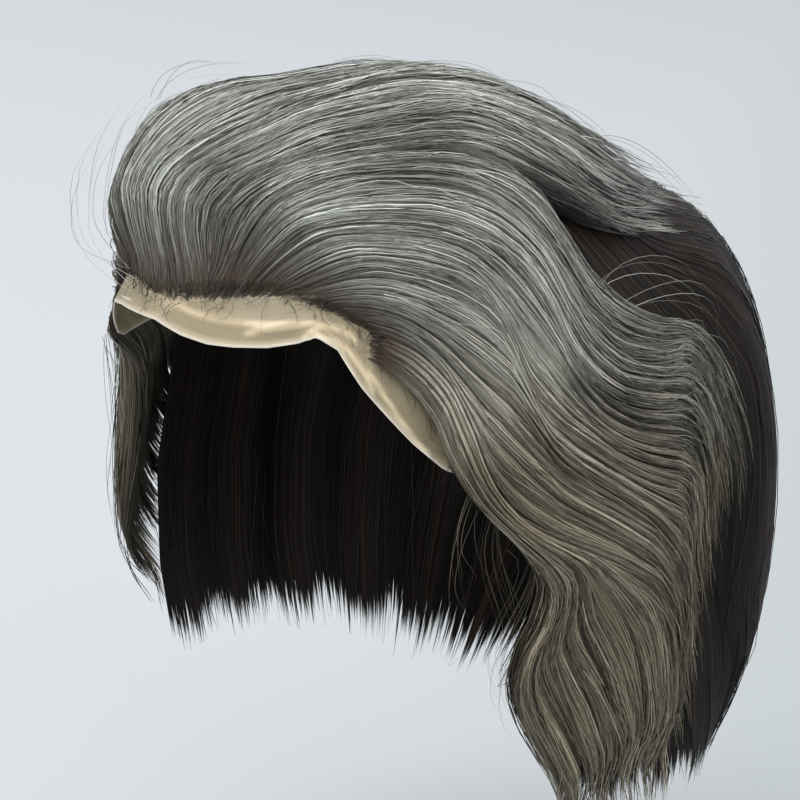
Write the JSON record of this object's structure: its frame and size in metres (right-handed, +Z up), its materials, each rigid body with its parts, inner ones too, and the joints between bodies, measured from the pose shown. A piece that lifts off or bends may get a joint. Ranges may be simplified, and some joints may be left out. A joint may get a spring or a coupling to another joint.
{
  "type": "toupee hairpiece",
  "caption": "Salt and pepper hairpiece for a man: clear film cap with a raised front wave, hair combed back and to the left in waves, dark back hair.",
  "frame": {"origin": "top of the scalp, on the cap's inner face, where the piece sits on the head", "axes": "+Z up, -Y is the wearer's forehead, +X the wearer's left"},
  "size_m": [0.2, 0.2164, 0.212],
  "materials": {
    "film": "thin clear polyurethane film with a soft satin sheen and fine wrinkles",
    "grey_hair": "fine hair, a mix of white, grey and near black strands with a silky sheen",
    "side_hair": "fine hair, a mix of warm grey, olive brown and dark strands with a silky sheen",
    "dark_hair": "smooth combed hair, very dark brown, soft sheen"
  },
  "bodies": {
    "root": {"skin_base": "film", "back_hair": "dark_hair", "crown_locks": "grey_hair", "quiff_locks": "grey_hair", "top_locks": "grey_hair", "upper_sweep": "grey_hair", "middle_sweep": "grey_hair", "lower_sweep": "side_hair", "temple_fall": "side_hair", "far_side_sweep": "side_hair", "far_side_fall": "side_hair"}
  },
  "joints": []
}
